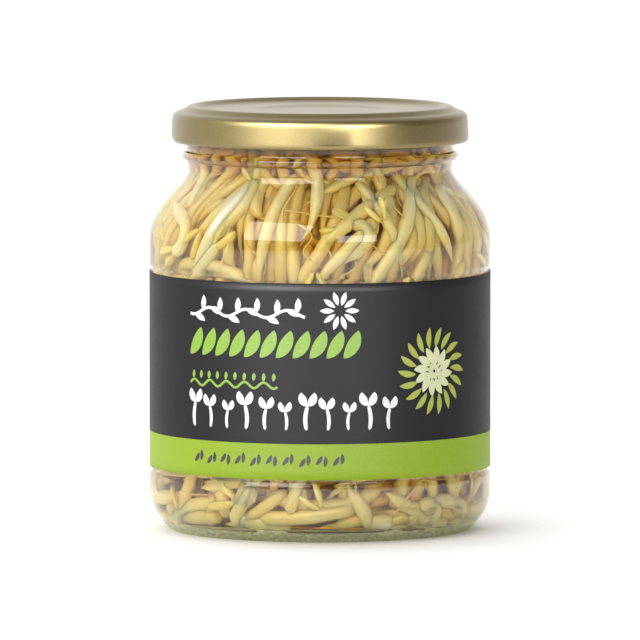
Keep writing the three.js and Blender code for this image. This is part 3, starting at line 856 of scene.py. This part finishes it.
def arc_stroke(start, heading, length, turn, width, pointed=1.0):
    """A stroke from a place along a heading that turns evenly, in degrees. Pointed ends make it a leaf: its
    width is the sine of its length, to the power pointed."""
    along = np.linspace(0, 1, STROKE_STEPS)
    angle = np.radians(heading + turn * along)
    steps = np.stack([np.cos(angle), np.sin(angle)], -1) * length / (STROKE_STEPS - 1)
    places = np.array(start) + np.cumsum(steps, 0) - steps[0]
    return stroke(places, np.maximum(width * np.sin(np.pi * along) ** pointed, 0.02 * width))


def little_plant(place, lean_by, size):
    """A seedling: a stem that turns upright, and two leaves spread from its top."""
    stem = arc_stroke(place, 90 - lean_by, 5.2 * size, lean_by * 2.2, 0.9 * size, 0.2)
    top = (stem[0][-1] + stem[1][-1]) / 2
    leaves_up = [arc_stroke(top, 90 + side * 58, 3.2 * size, -side * 60, 1.7 * size, 0.7) for side in (-1, 1)]
    return [stem, *leaves_up]


def rosette(place, petals, inner, outer, width, start=0.0, turn=25.0):
    """Leaves set evenly round a place, each from an inner to an outer distance."""
    angles = start + 360 * np.arange(petals) / petals
    rays = np.stack([np.cos(np.radians(angles)), np.sin(np.radians(angles))], -1)
    reach = outer - inner
    return [arc_stroke(place + inner * ray, a, reach, turn, width, 0.8) for ray, a in zip(rays, angles)]


def printed(name, strokes, material):
    """Wraps strokes on the label: angle = the middle of its front plus distance / radius. Each is a closed
    sliver, five points wide, whose front stands off the paper by the ink's height and whose back is in it."""
    parts = []
    share = np.linspace(0, 1, 5)[:, None, None]
    for left, right in strokes:
        front = right + (left - right) * share
        flat = np.concatenate([front, front[::-1]])
        radius = np.repeat([PAPER_OUTER + INK_HIGH, PAPER_OUTER - INK_DEEP], 5)[:, None]
        angle = CENTRE + flat[..., 0] / PAPER_OUTER
        vertices = placed(radius, angle, flat[..., 1]).transpose(1, 0, 2).reshape(-1, 3)
        last = len(vertices) - 10
        ends = [list(range(10)), list(range(last + 9, last - 1, -1))]
        parts.append((vertices, grid_faces(len(left), 10)[:, ::-1].tolist() + ends))
    piece = made_piece(name, *joined(*parts), [material])
    piece.data.shade_flat()
    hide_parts("label")
    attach(piece, "jar")


vine_along = np.linspace(-34, -3.5, 60)
vine_height = 53.6 + 0.9 * np.sin(vine_along * 0.62)
white = [stroke(np.stack([vine_along, vine_height], -1), np.full(60, 0.7))]
for k, spot in enumerate(np.linspace(-32.5, -5.5, 12)):
    side = 1 if k % 2 else -1
    foot = (spot, 53.6 + 0.9 * math.sin(spot * 0.62))
    white.append(arc_stroke(foot, 30 + side * 40, 3.6, side * 25, 1.5, 0.8))
for k, spot in enumerate(np.linspace(-32.5, 16.5, 11)):
    white += little_plant((spot, 26.6), 16 if k % 2 else -16, 1.12 - 0.14 * (k % 3))
white += rosette(np.array([4.6, 54.4]), 10, 1.3, 4.6, 1.25, turn=0)

green = []
for spot in np.linspace(-34, 5.5, 11):
    green.append(arc_stroke((spot, 43.4), 42, 7.4, 36, 3.0, 0.7))
thin_along = np.linspace(-34, -10, 60)
green.append(stroke(np.stack([thin_along, 36.9 + 0.7 * np.sin(thin_along * 1.3)], -1), np.full(60, 0.55)))
for spot in np.linspace(-33, -11, 10):
    green.append(arc_stroke((spot, 37.9), 75, 1.9, 20, 0.9, 0.7))

garden = np.array([29.0, 39.6])
pale_green = rosette(garden, 12, 1.6, 6.0, 1.9, 15) + rosette(garden, 9, 0.3, 2.4, 1.0, 0)
bright_green = rosette(garden, 18, 5.4, 10.4, 1.5, 5, -30)

dark = []
for k, spot in enumerate(np.linspace(-32.5, 5, 20)):
    dark.append(arc_stroke((spot, 18.4 + 0.35 * math.sin(2.1 * k)), 70 if k % 2 else 40, 2.5, 30, 0.95, 0.6))


def satin_ink(name, first, second):
    """Offset ink under satin varnish: an even tone with the paper's fibres just showing."""
    material, tree, place = new_material(name)
    fibre = add_node(tree, "TexNoise", {"Vector": place, "Scale": 1800.0, "Detail": 4.0})
    colour = add_node(tree, "ValToRGB", {"Fac": fibre}, [(0.3, first), (0.7, second)])
    rough = add_node(tree, "MapRange", {0: fibre, 1: 0.3, 2: 0.7, 3: 0.46, 4: 0.56})
    sockets = {"Base Color": colour, "Roughness": rough, "IOR": 1.45}
    add_node(tree, "OutputMaterial", {"Surface": add_node(tree, "BsdfPrincipled", sockets)})
    return material


printed("label_print_white", white, satin_ink("white_ink", "#eeeeee", "#f6f6f6"))
printed("label_print_green", green, satin_ink("green_ink", "#8cb82c", "#96c236"))
printed("label_print_pale_green", pale_green, satin_ink("pale_green_ink", "#dfe3b0", "#e8ebbd"))
printed("label_print_leaf_green", bright_green, satin_ink("leaf_green_ink", "#a9b53e", "#b5c04a"))
printed("label_print_dark", dark, satin_ink("charcoal_ink", "#26252a", "#2c2b30"))

# The sealing ring is plastisol, flowed into the cap as a paste and baked to a soft cream gasket. The rim of
# the glass is pressed into it, and the heat of filling seats it.
LINER_LOW, LINER_HIGH = (corner[2] * 1000 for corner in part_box("lid_liner"))


def plastisol():
    """Baked vinyl paste: cream and matt, with shallow pits about a millimetre apart."""
    material, tree, place = new_material("plastisol")
    pits = add_node(tree, "TexNoise", {"Vector": place, "Scale": 900.0, "Detail": 2.0})
    colour = add_node(tree, "ValToRGB", {"Fac": pits}, [(0.3, "#e2ddcb"), (0.7, "#ece8da")])
    bump = add_node(tree, "Bump", {"Height": pits, "Distance": 0.0001, "Strength": 0.3})
    sockets = {"Base Color": colour, "Roughness": 0.6, "Normal": bump}
    add_node(tree, "OutputMaterial", {"Surface": add_node(tree, "BsdfPrincipled", sockets)})
    return material


gasket = [(28.6, LINER_LOW), (31.6, LINER_LOW), (31.6, LINER_LOW + 0.9)]
gasket += [(30.2, LINER_HIGH), (29.2, LINER_HIGH)]
gasket = softened([*gasket, (28.6, LINER_LOW + 1.3), gasket[0]], 0.3)[:-1]
liner = made_piece("lid_sealing_ring", *turned(gasket, 192, ring=True), [plastisol()])
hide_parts("lid_liner")
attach(liner, "lid")

# The cap is tinplate under gold lacquer, pressed from one sheet: a dished button, a panel, a raised ring, a
# step, a rounded shoulder, a skirt that opens downwards, and a hem rolled inwards, which is pressed in to
# make four lugs.
LID_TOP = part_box("lid_cap")[1][2] * 1000
HEM_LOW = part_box("lid_cap")[0][2] * 1000
LID_RADIUS = 34.85
SHEET = 0.45
PANEL_TOP = LID_TOP - 0.9
BUTTON_DIP = 0.5
HEM_HIGH = HEM_LOW + 1.6
LUG_REACH = 31.8
LUG_HALF_WIDTH = math.radians(9)
HEM_DENT = 0.5


def cap_outline():
    """The sheet's section: its upper side outwards, round the hem and curl, and back along its under side."""
    panel = [(0, PANEL_TOP - BUTTON_DIP), (13.5, PANEL_TOP - BUTTON_DIP + 0.1), (16.5, PANEL_TOP)]
    ring = [(27.8, PANEL_TOP), (29.4, LID_TOP), (30.6, LID_TOP)]
    step = [(32.2, LID_TOP - 1.05), (33.4, LID_TOP - 1.4)]
    shoulder = [(34.25, LID_TOP - 1.9), (34.6, LID_TOP - 2.7)]
    roll = [(LID_RADIUS, HEM_LOW + 0.9), (34.7, HEM_LOW + 0.3), (34.3, HEM_LOW), (33.8, HEM_LOW)]
    curl = [(33.5, HEM_LOW + 0.3), (33.5, HEM_LOW + 0.9), (34.3, HEM_HIGH)]
    upper = np.array([*panel, *ring, *step, *shoulder])
    under = upper - np.stack([np.where(upper[:, 0] > 30, SHEET, 0), np.full(len(upper), SHEET)], -1)
    outline = np.vstack([under, np.array(curl)[::-1], np.array(roll)[::-1], upper[::-1]])
    return softened(outline, 0.7, steps=6, least_turn=0.05)


def lugs_pressed(vertices):
    """Presses the hem at each lug: its inner side moves in under the ramps and its outer side is dented, both
    by a smooth bump across the lug's width."""
    radius = np.hypot(vertices[:, 0], vertices[:, 1])
    turn = 2 * np.pi / LUG_COUNT
    past = np.arctan2(vertices[:, 1], vertices[:, 0]) - LUG_ANGLE
    offset = (past + turn / 2) % turn - turn / 2
    across = eased(np.clip(1 - np.abs(offset) / LUG_HALF_WIDTH, 0, 1))
    low = np.clip((HEM_HIGH - vertices[:, 2]) / 0.5, 0, 1) * (radius > 33)
    inner = np.clip((34.0 - radius) / 0.4, 0, 1)
    push = across * low * (inner * (33.5 - LUG_REACH) + (1 - inner) * HEM_DENT)
    vertices[:, :2] *= (1 - push / np.maximum(radius, 1))[:, None]
    return vertices


def gold_lacquer():
    """Tinplate under gold stoving lacquer: a satin metal to the eye, with the sheet's faint rolling grain."""
    material, tree, place = new_material("gold_lacquered_tinplate")
    stretched = add_node(tree, "Mapping", {"Vector": place, "Scale": (300.0, 3200.0, 3200.0)})
    # The rolling grain is about 0.3 mm across, coarser than the real one so that it shows.
    grain = add_node(tree, "TexNoise", {"Vector": stretched, "Scale": 1.0, "Detail": 3.0})
    speckle = add_node(tree, "TexNoise", {"Vector": place, "Scale": 2600.0, "Detail": 2.0})
    colour = add_node(tree, "ValToRGB", {"Fac": speckle}, [(0.35, "#82744c"), (0.65, "#887a51")])
    rough = add_node(tree, "MapRange", {0: grain, 1: 0.3, 2: 0.7, 3: 0.315, 4: 0.335})
    sockets = {"Base Color": colour, "Metallic": 1.0, "Roughness": rough}
    sockets |= {"Coat Weight": 0.35, "Coat Roughness": 0.25}
    add_node(tree, "OutputMaterial", {"Surface": add_node(tree, "BsdfPrincipled", sockets)})
    return material


cap_vertices, cap_faces = turned(cap_outline(), 320)
cap = made_piece("gold_cap", lugs_pressed(cap_vertices), cap_faces, [gold_lacquer()])
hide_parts("lid_cap")
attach(cap, "lid")

# The floor is a pale studio sheet, and the light is a large soft box high on the left, a strip on the right,
# and the white of the room.
FLOOR_REACH = 3000.0
KEY = {"azimuth": -33, "elevation": 34, "distance": 1.3, "size": (0.95, 0.8), "watts": 7.0, "glint": 104.0}
STRIP = {"azimuth": 26, "elevation": 21, "distance": 1.5, "size": (0.7, 0.34), "watts": 2.1, "glint": 40.0}
CEILING = {"azimuth": 200, "elevation": 72, "strength": 2.1, "spread": math.radians(70)}
AIM = (0.0, 0.0, 0.05)
ROOM_DIM = 0.1
ROOM_BRIGHT = 1.2
ROOM_SWEEP = (-0.45, 0.8, -0.4)


def pale_sheet():
    """Matt white board with a faint tooth about 2 mm across."""
    material, tree, place = new_material("pale_studio_board")
    tooth = add_node(tree, "TexNoise", {"Vector": place, "Scale": 500.0, "Detail": 2.0})
    colour = add_node(tree, "ValToRGB", {"Fac": tooth}, [(0.3, "#f9f9f9"), (0.7, "#fdfdfd")])
    sockets = {"Base Color": colour, "Roughness": 0.9, "Specular IOR Level": 0.1}
    add_node(tree, "OutputMaterial", {"Surface": add_node(tree, "BsdfPrincipled", sockets)})
    return material


corners = [(FLOOR_REACH * x, FLOOR_REACH * y, 0) for x, y in ((-1, -1), (1, -1), (1, 1), (-1, 1))]
floor = made_piece("studio_floor", corners, [[0, 1, 2, 3]], [pale_sheet()])


def direction(azimuth, elevation):
    """A unit vector from the jar: azimuth is degrees to the right of the camera's side, elevation is up."""
    turn, rise = math.radians(azimuth), math.radians(elevation)
    return np.array([math.sin(turn) * math.cos(rise), -math.cos(turn) * math.cos(rise), math.sin(rise)])


def aimed(thing, place, target):
    """Puts a lamp or camera at a place and turns its -Z axis to the target, with its Y axis upwards."""
    back = np.array(place, float) - np.array(target, float)
    back /= np.linalg.norm(back)
    right = np.cross((0, 0, 1), back)
    right /= np.linalg.norm(right)
    up = np.cross(back, right)
    rows = [[right[i], up[i], back[i], place[i]] for i in range(3)] + [[0, 0, 0, 1]]
    thing.matrix_world = Matrix(rows)


def soft_box(name, spec, only_gloss=False):
    """A rectangular area lamp that faces the jar. One for gloss alone shows in glass and lacquer, and lights
    nothing else, as the bright middle of a soft box does."""
    lamp = bpy.data.lights.new(name, "AREA")
    lamp.shape = "RECTANGLE"
    lamp.size, lamp.size_y = spec["size"]
    lamp.energy = spec["watts"]
    box = bpy.data.objects.new(name, lamp)
    box.visible_diffuse = not only_gloss
    bpy.context.scene.collection.objects.link(box)
    aimed(box, np.array(AIM) + spec["distance"] * direction(spec["azimuth"], spec["elevation"]), AIM)


for name, spec in (("key_box", KEY), ("right_strip", STRIP)):
    soft_box(name, spec)
    soft_box(name + "_middle", {**spec, "watts": spec["glint"]}, only_gloss=True)
glow = bpy.data.lights.new("lit_ceiling", "SUN")
glow.energy = CEILING["strength"]
glow.angle = CEILING["spread"]
ceiling = bpy.data.objects.new("lit_ceiling", glow)
ceiling.visible_glossy = False
bpy.context.scene.collection.objects.link(ceiling)
aimed(ceiling, np.array(AIM) + direction(CEILING["azimuth"], CEILING["elevation"]), AIM)

scene = bpy.context.scene
room = bpy.data.worlds.new("white_room")
room.use_nodes = True
tree = room.node_tree
walls = tree.nodes["Background"]
walls.inputs["Color"].default_value = linear("#ffffff")
sight = add_node(tree, "LightPath")
seen = {0: sight.outputs["Is Camera Ray"], 1: sight.outputs["Is Transmission Ray"]}
bright = add_node(tree, "Math", seen, operation="MAXIMUM")
way = add_node(tree, "TexCoord").outputs["Generated"]
toward = {0: way, 1: ROOM_SWEEP}
behind = add_node(tree, "VectorMath", toward, operation="DOT_PRODUCT").outputs["Value"]
sweep = add_node(tree, "MapRange", {0: behind, 1: -0.7, 2: 0.9, 3: ROOM_DIM, 4: ROOM_BRIGHT})
strength = add_node(tree, "Mix", {0: bright, 2: sweep, 3: 1.0})
tree.links.new(strength.outputs[0], walls.inputs["Strength"])
scene.world = room
scene.view_settings.view_transform = "Standard"

# The camera stands back about three metres and a little above the jar, with a long lens, as for a catalogue.
# Its scale is set so that the jar fills the frame as it does in the photo.
CAMERA_BACK = 3.0
CAMERA_HEIGHT = 0.3
PHOTO_WIDTH = 640
PIXELS_PER_METRE = 4262.5
SIGHT_HEIGHT = 0.04897

view = bpy.data.cameras.new("catalogue_camera")
reach = math.hypot(CAMERA_BACK, CAMERA_HEIGHT - SIGHT_HEIGHT)
view.sensor_width = 36
view.lens = view.sensor_width * PIXELS_PER_METRE * reach / PHOTO_WIDTH
view.clip_end = 50
camera = bpy.data.objects.new("catalogue_camera", view)
scene.collection.objects.link(camera)
aimed(camera, (0, -CAMERA_BACK, CAMERA_HEIGHT), (0, 0, SIGHT_HEIGHT))
scene.camera = camera
